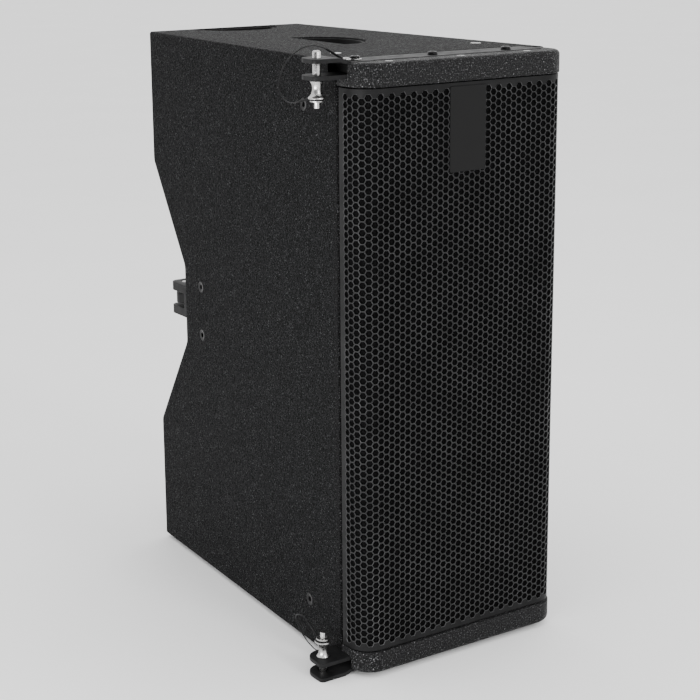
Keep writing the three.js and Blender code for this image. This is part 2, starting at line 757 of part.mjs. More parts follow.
add("quick_release_pin_top", lockingPin(TOP_PIN_LENGTH, -PIN_X, FORK_DEPTH, TOP_PIN_BASE), chrome);
add("pin_button_top", pinButton(-PIN_X, FORK_DEPTH, TOP_PIN_BASE), chrome);
const bottomPin = lockingPin(BOTTOM_PIN_LENGTH, -PIN_X, FORK_DEPTH, BOTTOM_PIN_BASE);
add("quick_release_pin_bottom", toBottom(bottomPin), chrome);
add("pin_button_bottom", toBottom(pinButton(-PIN_X, FORK_DEPTH, BOTTOM_PIN_BASE)), chrome);
add("quick_release_pin_rear", lockingPin(REAR_PIN_LENGTH, REAR_FORK_X, REAR_PIN_DEPTH, REAR_PIN_BASE), chrome);
add("pin_button_rear", pinButton(REAR_FORK_X, REAR_PIN_DEPTH, REAR_PIN_BASE), chrome);

// ---------------------------------------------------------------- rear rigging

const rearForkLow = MIDDLE - REAR_FORK_HEIGHT / 2;
const rearForkHigh = MIDDLE + REAR_FORK_HEIGHT / 2;

function rearFork(holeRadius) {
  const half = REAR_FORK_WIDTH / 2;
  const radius = 9;
  const path = new THREE.Shape();
  path.moveTo(-REAR_FORK_X - half, WAIST_DEPTH + GAP);
  path.lineTo(-REAR_FORK_X + half, WAIST_DEPTH + GAP);
  path.lineTo(-REAR_FORK_X + half, REAR_FORK_TIP - radius);
  path.absarc(-REAR_FORK_X + half - radius, REAR_FORK_TIP - radius, radius, 0, Math.PI / 2, false);
  path.absarc(-REAR_FORK_X - half + radius, REAR_FORK_TIP - radius, radius, Math.PI / 2, Math.PI, false);
  const block = raise(path, rearForkLow, rearForkHigh, 4);
  const throat = box(
    -120, -50, WAIST_DEPTH + 12, 460, rearForkLow + REAR_EAR_THICKNESS, rearForkHigh - REAR_EAR_THICKNESS,
  );
  const hole = turnUp(rod(holeRadius, 80), -REAR_FORK_X, REAR_PIN_DEPTH, MIDDLE - 40, 24);
  return block.subtract(throat).subtract(hole);
}

const PIVOT_RADIUS = 6;
add("rear_fork_left", rearFork(PIVOT_RADIUS + GAP), steelPaint);
add("rear_fork_right", toRight(rearFork(PIN_HOLE)), steelPaint);
add(
  "rear_pivot_pin",
  turnUp(rod(PIVOT_RADIUS, REAR_FORK_HEIGHT - 0.6), -REAR_FORK_X, REAR_PIN_DEPTH, rearForkLow + 0.3, 24),
  chrome,
);

// Steel inside the waist that the two forks and the side screws hold on to.
function waistBracket() {
  const back = WAIST_DEPTH - WALL - GAP;
  const front = back - 45;
  const sheet = 3;
  const outer = between.intersect(box(-130, 130, front, back, MIDDLE - 40, MIDDLE + 40));
  const inner = raise(
    planOutline([
      [-insideAt(front) + sheet, front - 1],
      [insideAt(front) - sheet, front - 1],
      [insideAt(back) - sheet, back - sheet],
      [-insideAt(back) + sheet, back - sheet],
    ]),
    0,
    HEIGHT,
  );
  let bracket = outer.subtract(inner);
  for (const place of [sideScrews.rear_top, sideScrews.rear_bottom]) {
    bracket = bracket.subtract(sideScrew(place, GAP));
  }
  return bracket;
}

add("waist_bracket", waistBracket(), steelPaint);

// Splay arm: pivots in the left fork, with a row of holes for the angle between two cabinets.
function rearArm() {
  const path = new THREE.Shape();
  const end = -REAR_FORK_X + REAR_ARM_LENGTH;
  path.absarc(-REAR_FORK_X, REAR_PIN_DEPTH, REAR_ARM_RADIUS, Math.PI / 2, 1.5 * Math.PI, false);
  path.absarc(end, REAR_PIN_DEPTH, REAR_ARM_RADIUS, 1.5 * Math.PI, 2.5 * Math.PI, false);
  const z0 = MIDDLE - REAR_ARM_THICKNESS / 2;
  let arm = raise(path, z0, z0 + REAR_ARM_THICKNESS, 10);
  arm = arm.subtract(turnUp(rod(PIVOT_RADIUS + GAP, 40), -REAR_FORK_X, REAR_PIN_DEPTH, MIDDLE - 20, 24));
  for (let i = 0; i < REAR_ARM_HOLES; i += 1) {
    arm = arm.subtract(turnUp(rod(PIN_HOLE, 40), end - i * REAR_ARM_SPACING, REAR_PIN_DEPTH, MIDDLE - 20, 16));
  }
  return arm;
}

add("rear_arm", rearArm(), steelPaint);

// ---------------------------------------------------------------- lanyards

const LANYARD_RADIUS = 0.6;
const EYELET_TAIL_TOP = [-122.6, 38];
const EYELET_TAIL_BOTTOM = [-113.5, 56];

// The eyelet under the first bar screw, with a crimped barrel on its tail.
function eyelet([x1, depth1]) {
  const [x0, depth0] = [BAR_SCREW_FIRST, BAR_SCREW_DEPTH];
  const ring = turnUp(rod(6.5, EYELET_THICKNESS), x0, depth0, eyeletSeat, 20);
  const angle = Math.atan2(depth1 - depth0, x1 - x0);
  const length = Math.hypot(x1 - x0, depth1 - depth0);
  const barrelLength = 6.5;
  const neck = new THREE.BoxGeometry(length - 4, 4, EYELET_THICKNESS);
  neck.translate(length / 2 - 1, 0, EYELET_THICKNESS / 2);
  const barrelRadius = 1.4;
  const barrel = new THREE.CylinderGeometry(barrelRadius, barrelRadius, barrelLength, 10);
  barrel.rotateZ(Math.PI / 2);
  barrel.translate(length - barrelLength / 2, 0, barrelRadius);
  const place = (geometry) => {
    geometry.rotateZ(angle);
    geometry.translate(x0, depth0 - ORIGIN_DEPTH, eyeletSeat);
    return solid(geometry);
  };
  const hole = turnUp(rod(3.3, 10), x0, depth0, eyeletSeat - 5, 16);
  return ring.add(place(neck)).add(place(barrel)).subtract(hole);
}

add("lanyard_eyelet_top", eyelet(EYELET_TAIL_TOP), chrome);
add("lanyard_eyelet_bottom", toBottom(eyelet(EYELET_TAIL_BOTTOM)), chrome);

// Steel wire from the eyelet's barrel to the groove in the pin's handle: x, depth and height along its route.
const lanyardTop = [
  [-123.2, 38.1, 621.8], [-127, 41, 624.6], [-131, 47, 628.6], [-134, 57, 631.8], [-138, 67, 632.8], [-143, 79, 629.5],
  [-149, 91, 620], [-152, 98.5, 609.5], [-153, 105, 595], [-152, 104.5, 585.5], [-150.8, 96, 578.5],
  [-150.2, 84, 577.5], [-150.3, 68, 581], [-150.5, 50.4, 584.7],
];
const lanyardBottom = [
  [-113.8, 56.7, -1.8], [-117.5, 63, -2.4], [-122, 70, -2.6], [-128, 76.5, -1.4], [-133.5, 83, 2.6],
  [-136, 94, 8.2], [-138.5, 101, 16.5], [-144, 101, 30], [-148, 96.5, 38.6], [-151, 87, 44.6],
  [-152, 76, 47.1], [-151, 64, 42.1], [-150.5, 50.4, 33.9],
];

function wire(route) {
  const curve = new THREE.CatmullRomCurve3(
    route.map(([x, depth, z]) => new THREE.Vector3(x, depth - ORIGIN_DEPTH, z)),
  );
  const section = new THREE.Shape();
  section.absarc(0, 0, LANYARD_RADIUS, 0, 2 * Math.PI, false);
  const geometry = new THREE.ExtrudeGeometry(section, { steps: 40, curveSegments: 4, extrudePath: curve });
  return solid(geometry);
}

add("lanyard_top", wire(lanyardTop), chrome);
add("lanyard_bottom", wire(lanyardBottom), chrome);

export default speaker;
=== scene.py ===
import json
import math

import bmesh
import bpy
from mathutils import Matrix, Vector


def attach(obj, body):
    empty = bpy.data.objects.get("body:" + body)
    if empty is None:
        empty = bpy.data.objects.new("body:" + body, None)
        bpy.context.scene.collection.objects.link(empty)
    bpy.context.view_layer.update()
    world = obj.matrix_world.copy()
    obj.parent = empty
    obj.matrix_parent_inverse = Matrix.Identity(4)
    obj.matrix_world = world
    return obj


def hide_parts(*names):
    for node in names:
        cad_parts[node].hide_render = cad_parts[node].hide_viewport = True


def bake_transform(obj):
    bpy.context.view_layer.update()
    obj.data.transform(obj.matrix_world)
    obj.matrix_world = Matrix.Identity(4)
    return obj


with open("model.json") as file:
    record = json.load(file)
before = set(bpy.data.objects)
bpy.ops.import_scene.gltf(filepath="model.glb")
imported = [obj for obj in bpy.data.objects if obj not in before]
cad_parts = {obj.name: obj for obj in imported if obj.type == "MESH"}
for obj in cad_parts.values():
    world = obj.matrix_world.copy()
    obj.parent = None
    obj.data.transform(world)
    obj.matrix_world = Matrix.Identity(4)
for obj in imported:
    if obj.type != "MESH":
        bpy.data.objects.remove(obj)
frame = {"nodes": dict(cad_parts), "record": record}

# Looks of the line array speaker. Lengths below are in millimetres; depths run from the front of the cabinet.
MM = 0.001
HEIGHT = 620.0
MIDDLE = HEIGHT / 2
ORIGIN_DEPTH = 120.0
FRONT_WIDTH = 257.0
REAR_WIDTH = 203.6
HALF_FRONT = FRONT_WIDTH / 2
SIDE_START = 39.7
DEPTH = 475.0
WAIST_DEPTH = 397.0
LOBE_BEND = 159.3  # from the middle of the height to where the rear lobes begin
WAIST_BEND = 45.4  # from the middle of the height to where the waist ends
INNER_LOBE_BEND = 164.0
INNER_WAIST_BEND = 50.0
BEND_ROUNDING = 14.0
TAPER = math.atan((FRONT_WIDTH - REAR_WIDTH) / 2 / (DEPTH - SIDE_START))
WALL = 15.0
END_WALL = 18.0
GAP = 0.3
CORNER = 26.0
CAP_LOW = HEIGHT - 24.4
CAP_TOP = HEIGHT - 0.7
CAP_END = 59.7

# Rigging at the top end; the bottom end mirrors it.
BAR_TOP = HEIGHT - 0.2
BAR_THICKNESS = 4.0
BAR_FRONT = 25.5
BAR_BACK = 58.5
BAR_RIGHT = 112.0
BAR_SCREWS = (-109, -17, 75)
BAR_SCREW_DEPTH = 37.5
EAR_FRONT = 23.0
EAR_BACK = 56.0
LINK_START = 28.0
LINK_WIDTH = 27.0
LINK_LOW = 608.8
LINK_HIGH = 615.2
FORK_DEPTH = 40.5
PIN_X = -150.5
REAR_PIN = (86.5, 429.0, 271.0)
REAR_PIN_LENGTH = 61.0
CUT_REACH = 150.0  # cutters run this far sideways, past the cabinet
CUT_TOP = 640.0

# Connector plate on the lower rear.
CONNECTOR_Z = 88.0
SOCKET_X = 22.0
PLATE_HALF_WIDTH = 50.4
PLATE_HALF_HEIGHT = 42.4
PLATE_OPENING = (42.0, 34.0)

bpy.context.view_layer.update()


def at(x, depth, z):
    """A point of the shared frame in metres."""
    return Vector((x, depth - ORIGIN_DEPTH, z)) * MM


def outside(depth):
    """Half the cabinet's width at a depth, on its outer face."""
    return HALF_FRONT - (depth - SIDE_START) * math.tan(TAPER)


def inside(depth):
    """Half the width between the side panels at a depth."""
    return outside(depth) - WALL / math.cos(TAPER) - GAP


# ---------------------------------------------------------------- materials


class Look:
    """A procedural material, built from nodes that read object coordinates in metres."""

    def __init__(self, name, rough=0.5, metal=0.0, specular=0.5):
        self.mat = bpy.data.materials.new(name)
        self.mat.use_nodes = True
        self.tree = self.mat.node_tree
        self.tree.nodes.clear()
        out = self.node("ShaderNodeOutputMaterial")
        self.bsdf = self.node("ShaderNodeBsdfPrincipled")
        self.tree.links.new(self.bsdf.outputs[0], out.inputs[0])
        self.bsdf.inputs["Roughness"].default_value = rough
        self.bsdf.inputs["Metallic"].default_value = metal
        self.bsdf.inputs["Specular IOR Level"].default_value = specular
        self.coord = self.node("ShaderNodeTexCoord").outputs["Object"]
        self.bumped = None

    def node(self, kind, **settings):
        made = self.tree.nodes.new(kind)
        for key, value in settings.items():
            setattr(made, key, value)
        return made

    def link(self, a, b):
        self.tree.links.new(a, b)

    def stretched(self, scale):
        mapping = self.node("ShaderNodeMapping")
        mapping.inputs["Scale"].default_value = scale
        self.link(self.coord, mapping.inputs["Vector"])
        return mapping.outputs[0]

    def noise(self, scale, detail=2.0, stretch=None, rough=0.5):
        made = self.node("ShaderNodeTexNoise")
        made.inputs["Scale"].default_value = scale
        made.inputs["Detail"].default_value = detail
        made.inputs["Roughness"].default_value = rough
        self.link(self.stretched(stretch) if stretch else self.coord, made.inputs["Vector"])
        return made.outputs["Fac"]

    def cells(self, scale, smooth=0.6):
        made = self.node("ShaderNodeTexVoronoi", feature="SMOOTH_F1")
        made.inputs["Scale"].default_value = scale
        made.inputs["Smoothness"].default_value = smooth
        self.link(self.coord, made.inputs["Vector"])
        return made.outputs["Distance"]

    def spread(self, value, low, high, to_low, to_high):
        made = self.node("ShaderNodeMapRange")
        made.inputs["From Min"].default_value = low
        made.inputs["From Max"].default_value = high
        made.inputs["To Min"].default_value = to_low
        made.inputs["To Max"].default_value = to_high
        self.link(value, made.inputs["Value"])
        return made.outputs[0]

    def colours(self, value, stops):
        ramp = self.node("ShaderNodeValToRGB")
        while len(ramp.color_ramp.elements) < len(stops):
            ramp.color_ramp.elements.new(0.5)
        for element, (place, colour) in zip(ramp.color_ramp.elements, stops):
            element.position = place
            element.color = (*colour, 1)
        self.link(value, ramp.inputs[0])
        self.link(ramp.outputs[0], self.bsdf.inputs["Base Color"])
        return self

    def roughness(self, value, low, high):
        self.link(self.spread(value, 0.25, 0.75, low, high), self.bsdf.inputs["Roughness"])
        return self

    def bump(self, value, distance, strength=1.0):
        made = self.node("ShaderNodeBump")
        made.inputs["Distance"].default_value = distance
        made.inputs["Strength"].default_value = strength
        self.link(value, made.inputs["Height"])
        if self.bumped is not None:
            self.link(self.bumped, made.inputs["Normal"])
        self.bumped = made.outputs[0]
        self.link(self.bumped, self.bsdf.inputs["Normal"])
        return self


def grey(value, tint=1.03):
    """A grey that leans slightly to blue."""
    return (value, value, value * tint)


def coating(name, size, depth, dark, light, rough, gloss, painted_glint):
    """Sprayed textured paint: dark ground, grains size millimetres apart, and the odd grain given a painted
    glint as its colour.
    """
    look = Look(name, rough, 0.0, gloss)
    grain = look.noise(1000 / size, 3.5, rough=0.72)
    # The brightest stop is a painted glint on the odd grain, not a colour of the paint.
    look.colours(grain, [
        (0.42, grey(dark)), (0.53, grey((dark + light) / 3)), (0.61, grey(light)), (0.71, grey(painted_glint)),
    ])
    look.roughness(look.noise(380.0, 2.0, rough=0.7), rough + 0.18, rough - 0.18)
    look.bump(look.noise(1000 / size / 2.6, 1.0), depth, 0.7)
    look.bump(grain, depth * 0.8, 1.0)
    return look.mat


def satin_steel(name, low, high, rough, metal=0.0, gloss=0.12):
    """Painted or blackened metal, a little worn."""
    look = Look(name, rough, metal, gloss)
    wear = look.noise(38.0, 5.0, rough=0.6)
    look.colours(wear, [(0.35, grey(low)), (0.75, grey(high))])
    look.roughness(look.noise(120.0, 4.0), rough - 0.08, rough + 0.12)
    look.bump(look.noise(2600.0, 2.0), 0.00008, 0.6)
    return look.mat


def turned_metal(name, low, high, rough, metal=1.0):
    """Bright turned metal with rings round its upright axis and small smudges."""
    look = Look(name, rough, metal)
    smudge = look.noise(210.0, 4.0)
    look.colours(smudge, [(0.3, (low, low * 0.99, low * 0.97)), (0.7, (high, high * 0.995, high * 0.985))])
    look.roughness(look.noise(420.0, 3.0), rough - 0.05, rough + 0.1)
    look.bump(look.noise(300.0, 1.0, (0.3, 0.3, 14.0)), 0.00003, 0.5)
    return look.mat


def moulded(name, low, high, rough):
    """Matt moulded plastic or rubber."""
    look = Look(name, rough, 0.0, 0.12)
    look.colours(look.noise(60.0, 3.0), [(0.3, grey(low)), (0.7, grey(high))])
    look.roughness(look.noise(150.0, 3.0), rough - 0.06, rough + 0.08)
    look.bump(look.noise(1900.0, 2.0), 0.00012, 0.6)
    return look.mat


def brushed(name, low, high, rough):
    """Dark metal brushed in one direction."""
    look = Look(name, rough, 0.0, 0.12)
    lines = look.noise(260.0, 3.0, (1.0, 1.0, 22.0))
    look.colours(lines, [(0.3, grey(low)), (0.7, grey(high))])
    look.roughness(lines, rough - 0.06, rough + 0.1)
    look.bump(lines, 0.00003, 0.5)
    return look.mat


def soft(name, low, high, scale, distance):
    """Porous foam or paper."""
    look = Look(name, 0.95, 0.0, 0.03)
    pores = look.cells(scale, 0.3)
    look.colours(pores, [(0.2, grey(low)), (0.8, grey(high))])
    look.bump(pores, distance, 1.0)
    return look.mat


def stranded(name):
    """Wire rope: slanting strands along its run."""
    look = Look(name, 0.45, 0.0, 0.12)
    wave = look.node("ShaderNodeTexWave", wave_type="BANDS", bands_direction="DIAGONAL")
    wave.inputs["Scale"].default_value = 900.0
    wave.inputs["Distortion"].default_value = 0.6
    look.link(look.coord, wave.inputs["Vector"])
    look.colours(wave.outputs["Fac"], [(0.1, grey(0.003)), (0.8, grey(0.016))])
    look.roughness(look.noise(300.0, 2.0), 0.38, 0.55)
    look.bump(wave.outputs["Fac"], 0.0002, 0.8)
    return look.mat


def circuit(name):
    """Green circuit board."""
    look = Look(name, 0.5)
    look.colours(look.noise(70.0, 2.0), [(0.4, (0.01, 0.05, 0.02)), (0.6, (0.02, 0.09, 0.035))])
    look.roughness(look.noise(90.0, 3.0), 0.4, 0.6)
    look.bump(look.cells(420.0), 0.0002, 0.5)
    return look.mat


LOOKS = {
    "coated_wood": coating("coating_fine", 1.35, 0.0008, 0.002, 0.016, 0.52, 0.014, 0.17),
    "coated_cap": coating("coating_coarse", 1.6, 0.0010, 0.004, 0.030, 0.46, 0.06, 0.30),
    "bare_wood": coating("stained_plywood", 3.0, 0.0003, 0.010, 0.022, 0.75, 0.2, 0.03),
    "moulded_plastic": moulded("moulded_plastic", 0.003, 0.007, 0.60),
    "basket_metal": satin_steel("basket_paint", 0.016, 0.030, 0.48),
    "surround_rubber": moulded("surround_rubber", 0.010, 0.016, 0.75),
    "cone_paper": soft("cone_paper", 0.012, 0.030, 1400.0, 0.0002),
    "rigging_steel": satin_steel("rigging_powder_coat", 0.006, 0.014, 0.50),
    "pin_chrome": turned_metal("pin_steel", 0.36, 0.52, 0.25),
    "button_steel": turned_metal("button_steel", 0.40, 0.56, 0.22),
    "eyelet_steel": turned_metal("zinc_plate", 0.34, 0.60, 0.24),
    "wire_steel": stranded("wire_rope"),
    "black_screw": satin_steel("black_oxide", 0.003, 0.009, 0.26, 0.0, 0.15),
    "plate_metal": satin_steel("plate_powder_coat", 0.014, 0.024, 0.45),
    "grille_metal": satin_steel("grille_powder_coat", 0.006, 0.012, 0.40, gloss=0.08),
    "open_foam": soft("open_foam", 0.001, 0.006, 900.0, 0.001),
    "label_metal": brushed("label_plate", 0.003, 0.006, 0.50),
    "circuit_board": circuit("circuit_board"),
}


# ---------------------------------------------------------------- mesh helpers


def make(name, mesh, slot, body="cabinet", replaced=(), smooth=None):
    """Puts a mesh into the scene as a piece that rides on body and stands for CAD nodes."""
    obj = bpy.data.objects.new(name, mesh)
    bpy.context.scene.collection.objects.link(obj)
    mesh.materials.clear()
    mesh.materials.append(LOOKS[slot])
    if smooth is not None:
        shade(mesh, smooth)
    if body:
        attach(obj, body)
    if replaced:
        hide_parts(*replaced)
    return obj


BROAD_FACE = 0.0006  # square metres


def shade(mesh, degrees):
    """Smooth shading on the rounded parts; broad faces stay truly flat."""
    mesh.shade_smooth()
    mesh.set_sharp_from_angle(angle=math.radians(degrees))
    for face in mesh.polygons:
        face.use_smooth = face.area < BROAD_FACE


def mesh_of(name, points, faces):
    """A mesh of points and faces, with its normals outwards."""
    mesh = bpy.data.meshes.new(name)
    mesh.from_pydata([tuple(p) for p in points], [], faces)
    mesh.validate()
    bm = bmesh.new()
    bm.from_mesh(mesh)
    bmesh.ops.recalc_face_normals(bm, faces=bm.faces)
    bm.to_mesh(mesh)
    bm.free()
    return mesh


def stack(name, rings, closed_ends=True):
    """A skin through rings of equally many points, closed at its two ends unless told otherwise."""
    count = len(rings[0])
    points = [p for ring in rings for p in ring]
    faces = []
    for level in range(len(rings) - 1):
        a, b = level * count, (level + 1) * count
        for i in range(count):
            j = (i + 1) % count
            faces.append((a + i, a + j, b + j, b + i))
    if closed_ends:
        faces.append(tuple(reversed(range(count))))
        faces.append(tuple(range((len(rings) - 1) * count, len(rings) * count)))
    return mesh_of(name, points, faces)


def modified(mesh, *modifiers):
    """The mesh with modifiers applied: each is a type and its settings."""
    obj = bpy.data.objects.new("work", mesh)
    bpy.context.scene.collection.objects.link(obj)
    for i, (kind, settings) in enumerate(modifiers):
        made = obj.modifiers.new(f"step_{i}", kind)
        for key, value in settings.items():
            setattr(made, key, value)
    graph = bpy.context.evaluated_depsgraph_get()
    result = bpy.data.meshes.new_from_object(obj.evaluated_get(graph))
    result.name = mesh.name
    bpy.data.objects.remove(obj)
    return result


def bevelled(mesh, width, segments=2, degrees=35):
    """The mesh with its sharp edges rounded by width millimetres."""
    settings = {
        "width": width * MM,
        "segments": segments,
        "limit_method": "ANGLE",
        "angle_limit": math.radians(degrees),
        "use_clamp_overlap": True,
        "miter_outer": "MITER_ARC",
    }
    return modified(mesh, ("BEVEL", settings))


def less(mesh, cutters):
    """The mesh with each cutter mesh taken away."""
    for cutter in cutters:
        tool = bpy.data.objects.new("cutter", cutter)
        bpy.context.scene.collection.objects.link(tool)
        mesh = modified(mesh, ("BOOLEAN", {"operation": "DIFFERENCE", "solver": "EXACT", "object": tool}))
        bpy.data.objects.remove(tool)
    return mesh


def block(x0, x1, depth0, depth1, z0, z1):
    """A box mesh between two corners."""
    low, high = at(x0, depth0, z0), at(x1, depth1, z1)
    ring = [(low.x, low.y), (high.x, low.y), (high.x, high.y), (low.x, high.y)]
    return stack("block", [[(x, y, z) for x, y in ring] for z in (low.z, high.z)])


def upside_down(mesh):
    """The mesh mirrored from the top end to the bottom end."""
    copy = mesh.copy()
    copy.transform(Matrix.Translation((0, 0, HEIGHT * MM)) @ Matrix.Diagonal((1, 1, -1, 1)))
    copy.flip_normals()
    return copy


def joined(name, meshes):
    """One mesh made of several."""
    bm = bmesh.new()
    for mesh in meshes:
        bm.from_mesh(mesh)
    result = bpy.data.meshes.new(name)
    bm.to_mesh(result)
    bm.free()
    return result


def refined(node, width, segments=2):
    """A CAD node's mesh, cleaned to whole faces, with its sharp edges rounded."""
    bm = bmesh.new()
    bm.from_mesh(frame["nodes"][node].data)
    bmesh.ops.remove_doubles(bm, verts=bm.verts, dist=0.00002)
    bmesh.ops.dissolve_limit(bm, angle_limit=math.radians(0.6), verts=bm.verts, edges=bm.edges)
    mesh = bpy.data.meshes.new(node + "_look")
    bm.to_mesh(mesh)
    bm.free()
    return bevelled(mesh, width, segments)


def body_of(node):
    bodies = frame["record"]["behaviour"]["bodies"]
    return next(name for name, nodes in bodies.items() if node in nodes)


def slot_of(node):
    return next(s["material_slot"] for s in frame["record"]["subparts"] if s["node"] == node)


def refine_node(node, width, segments=2, smooth=35):
    """Replaces a CAD node by its own mesh with softer edges."""
    return make(node + "_look", refined(node, width, segments), slot_of(node), body_of(node), [node], smooth)


def lathe(name, profile, base, axis=(0, 0, 1), segments=48):
    """A turned mesh: profile holds radius, height and optionally 6 for a hexagonal ring."""
    rings = []
    turn = Vector((0, 0, 1)).rotation_difference(Vector(axis)).to_matrix()
    for radius, height, *sides in profile:
        ring = []
        for i in range(segments):
            angle = 2 * math.pi * i / segments
            reach = radius
            if sides:
                reach = radius / math.cos((angle % (math.pi / 3)) - math.pi / 6)
            local = Vector((reach * math.cos(angle), reach * math.sin(angle), height)) * MM
            ring.append(base + turn @ local)
        rings.append(ring)
    return stack(name, rings)


# ---------------------------------------------------------------- cabinet shell


def softened(points, radius, steps=5):
    """A closed outline with its corners rounded."""
    result = []
    count = len(points)
    for i, corner in enumerate(points):
        r = radius[i]
        if not r:
            result.append(corner)
            continue
        here = Vector(corner)
        before = (Vector(points[i - 1]) - here).normalized()
        after = (Vector(points[(i + 1) % count]) - here).normalized()
        half = before.angle(after) / 2
        reach = r / math.tan(half)
        for k in range(steps + 1):
            t = k / steps
            a = here + before * reach * (1 - t) ** 2 + after * reach * t ** 2
            result.append(tuple(a))
    return result


def shell_mesh():
    outline = hourglass(SIDE_START, 0, 0, LOBE_BEND, WAIST_BEND)
    outline = softened(outline, [0, 0] + [BEND_ROUNDING] * 4 + [0, 0])
    rings = [[at(side * outside(d), d, z) for d, z in outline] for side in (-1, 1)]
    hull = bevelled(stack("cabinet_shell", rings), 2.6, 3, 40)
    cavity = hourglass(SIDE_START - 5, WALL, END_WALL, INNER_LOBE_BEND, INNER_WAIST_BEND)
    hollow = stack("hollow", [[at(side * inside(d), d, z) for d, z in cavity] for side in (-1, 1)])
    top_cuts = [
        cap_room(),
        fork_room(-95.9, 0.4, 603.5),
        link_room(0.4),
        hand_cutter(-math.pi / 2, *MIDDLE_HAND),
        hand_cutter(math.pi, *REAR_HAND),
    ]
    cuts = [hollow, *top_cuts, *(upside_down(c) for c in top_cuts)]
    for depth, z in SIDE_SCREWS:
        for side in (-1, 1):
            cuts.append(screw_cutter(side, depth, z))
    cuts.append(connector_room(PLATE_HALF_WIDTH, PLATE_HALF_HEIGHT, DEPTH - 6.4))
    cuts.append(connector_room(*PLATE_OPENING, DEPTH - 20))
    return less(hull, cuts)


def hourglass(start, rear_wall, end_wall, lobe_bend, waist_bend):
    """The side view of the cabinet in depth and height, moved in by the walls."""
    lobe, waist = DEPTH - rear_wall, WAIST_DEPTH - rear_wall
    return [
        (start, end_wall), (lobe, end_wall), (lobe, MIDDLE - lobe_bend), (waist, MIDDLE - waist_bend),
        (waist, MIDDLE + waist_bend), (lobe, MIDDLE + lobe_bend),
        (lobe, HEIGHT - end_wall), (start, HEIGHT - end_wall),
    ]


def fork_room(inner_x, clear, low):
    """A cutter that makes room for the fork's ears, clear of them in depth."""
    return block(-CUT_REACH, inner_x, EAR_FRONT - clear, EAR_BACK + clear, low, CUT_TOP)


def link_room(clear):
    """A cutter that makes room for the tongue, clear of it all round."""
    half = LINK_WIDTH / 2 + clear
    low, high = LINK_LOW - clear, LINK_HIGH + clear
    return block(LINK_START - 1, CUT_REACH, FORK_DEPTH - half, FORK_DEPTH + half, low, high)


def connector_room(half_width, half_height, front):
    """A cutter for the connector plate's recess, from a depth outwards."""
    low, high = CONNECTOR_Z - half_height, CONNECTOR_Z + half_height
    return block(-half_width, half_width, front, DEPTH + 5, low, high)


def cap_room():
    """A cutter that makes room for the front cap's tab between the side panels."""
    ring = [(-inside(39), 30), (inside(39), 30), (inside(60), CAP_END + GAP), (-inside(60), CAP_END + GAP)]
    return stack("cap_room", [[at(x, d, z) for x, d in ring] for z in (CAP_LOW - GAP, HEIGHT + 20)])


HAND_HALF_LENGTH = 52
HAND_WIDTH = 48
MIDDLE_HAND = (-18, 241)
REAR_HAND = (6, 467)
# How far the recess widens, and at what height, from its floor to above the end face.
HAND_MOUTH = [(0.0, 570.0), (0.0, 616.0), (0.5, 617.8), (1.5, 619.2), (3.2, 620.3), (3.2, 630.0)]


def hand_cutter(turned, x, depth):
    """The D of a hand recess, with a softened mouth."""
    rings = []
    for out, z in HAND_MOUTH:
        ring = []
        a, b = HAND_HALF_LENGTH + out, HAND_WIDTH + out
        start = -math.asin(out / b)
        for i in range(33):
            t = start + (math.pi - 2 * start) * i / 32
            ring.append(Vector((a * math.cos(t), b * math.sin(t))))
        spin = Matrix.Rotation(turned, 2)
        rings.append([at(x + (spin @ p).x, depth + (spin @ p).y, z) for p in ring])
    return stack("hand", rings)


# Depth and height of the countersunk screws in each side face.
SIDE_SCREWS = [(107, HEIGHT - 48), (107, 48), (354.6, MIDDLE + 28.3), (354.6, MIDDLE - 28.3)]
SCREW_SEAT = [(7.6, -2), (7.6, 0), (6.9, 0.5), (6.9, 0.9), (3.4, 3.9), (3.4, 14)]


def side_place(side, depth, z):
    """A point on the side face and the direction into it."""
    inwards = Vector((-side * math.cos(TAPER), -math.sin(TAPER), 0))
    return at(side * outside(depth), depth, z), inwards


def screw_cutter(side, depth, z):
    base, inwards = side_place(side, depth, z)
    return lathe("sunk", SCREW_SEAT, base, inwards, 32)


shell_nodes = [
    "side_panel_left", "side_panel_right", "end_panel_top", "end_panel_bottom", "rear_panel_top",
    "rear_panel_bottom", "diagonal_panel_top", "diagonal_panel_bottom", "waist_panel",
]
make("cabinet_shell", shell_mesh(), "coated_wood", replaced=shell_nodes, smooth=32)

for end in ("top", "bottom"):
    for place in ("middle", "rear"):
        refine_node(f"hand_cup_{end}_{place}", 0.5)


# ---------------------------------------------------------------- front caps


def front_outline(front, side_in, end, steps=14):
    """Left end, round the front, to the right end, in x and depth."""
    half = HALF_FRONT - side_in
    radius = CORNER - front
    points = [(-half, end)]
    for i in range(steps + 1):
        t = math.pi + math.pi / 2 * i / steps
        points.append((-half + radius + radius * math.cos(t), front + radius + radius * math.sin(t)))
    for i in range(steps + 1):
        t = 1.5 * math.pi + math.pi / 2 * i / steps
        points.append((half - radius + radius * math.cos(t), front + radius + radius * math.sin(t)))
    points.append((half, end))
    return points


# x and depth of the small fixings in each front cap and end panel.
CAP_STUDS = [(-84, 16.5), (3, 18.5), (87, 18.5)]
PANEL_STUDS = [(-86.5, 104.5), (95, 112)]
CAP_ROUNDING = 4.8


